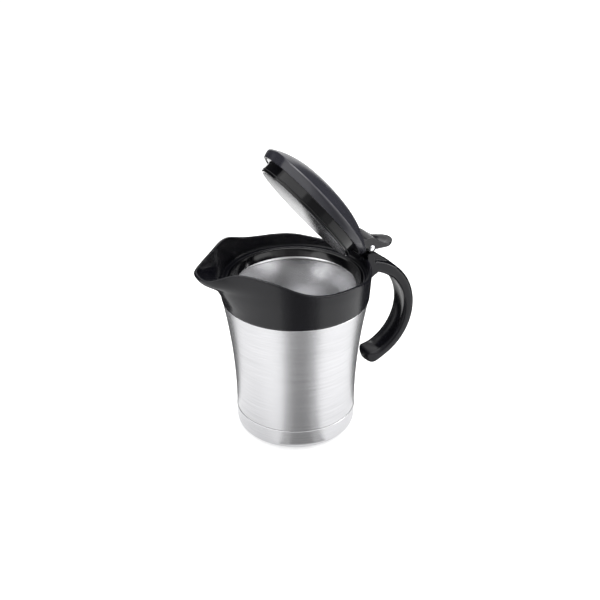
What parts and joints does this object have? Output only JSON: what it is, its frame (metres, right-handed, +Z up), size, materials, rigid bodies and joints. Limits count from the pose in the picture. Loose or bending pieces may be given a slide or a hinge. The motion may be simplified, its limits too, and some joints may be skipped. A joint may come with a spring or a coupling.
{
  "type": "insulated gravy boat",
  "caption": "Double-walled steel gravy boat with a black spouted collar, C-shaped handle and a hinged, plugged lid opened by a thumb lever.",
  "frame": {"origin": "centre of the foot's flat underside, on the body's axis", "axes": "+Z up along the body's axis, +X towards the handle, the spout points to -X"},
  "size_m": [0.1665, 0.1056, 0.2094],
  "materials": {
    "outer_steel": "brushed",
    "base_steel": "brushed",
    "hidden_steel": "plain",
    "inner_steel": "brushed",
    "collar_black": "satin",
    "seal": "matte",
    "seat_black": "gloss",
    "handle_black": "satin",
    "screw": "plain",
    "pin": "polished",
    "cover_black": "satin",
    "lever_black": "satin",
    "plug_black": "gloss",
    "foam": "foam",
    "disc_steel": "brushed",
    "plug_seal": "matte"
  },
  "bodies": {
    "jug": {"outer_wall": "outer_steel", "base_cup": "base_steel", "inner_base": "hidden_steel", "inner_vessel": "inner_steel", "collar": "collar_black", "collar_seal": "seal", "seat_ring": "seat_black", "seat_seal": "seal", "handle": "handle_black", "handle_screws": "screw", "hinge_pin": "pin"},
    "lid": {"lid_cover": "cover_black", "thumb_lever": "lever_black", "lever_screws": "screw", "lid_plug": "plug_black", "lid_core": "foam", "plug_disc": "disc_steel", "plug_seal": "plug_seal"}
  },
  "joints": [
    {"name": "lid_hinge", "type": "hinge", "parent": "jug", "child": "lid", "pos_m": [0.0553, 0, 0.131], "axis": [0, 1, 0], "range_deg": [-52.5, 35]}
  ]
}
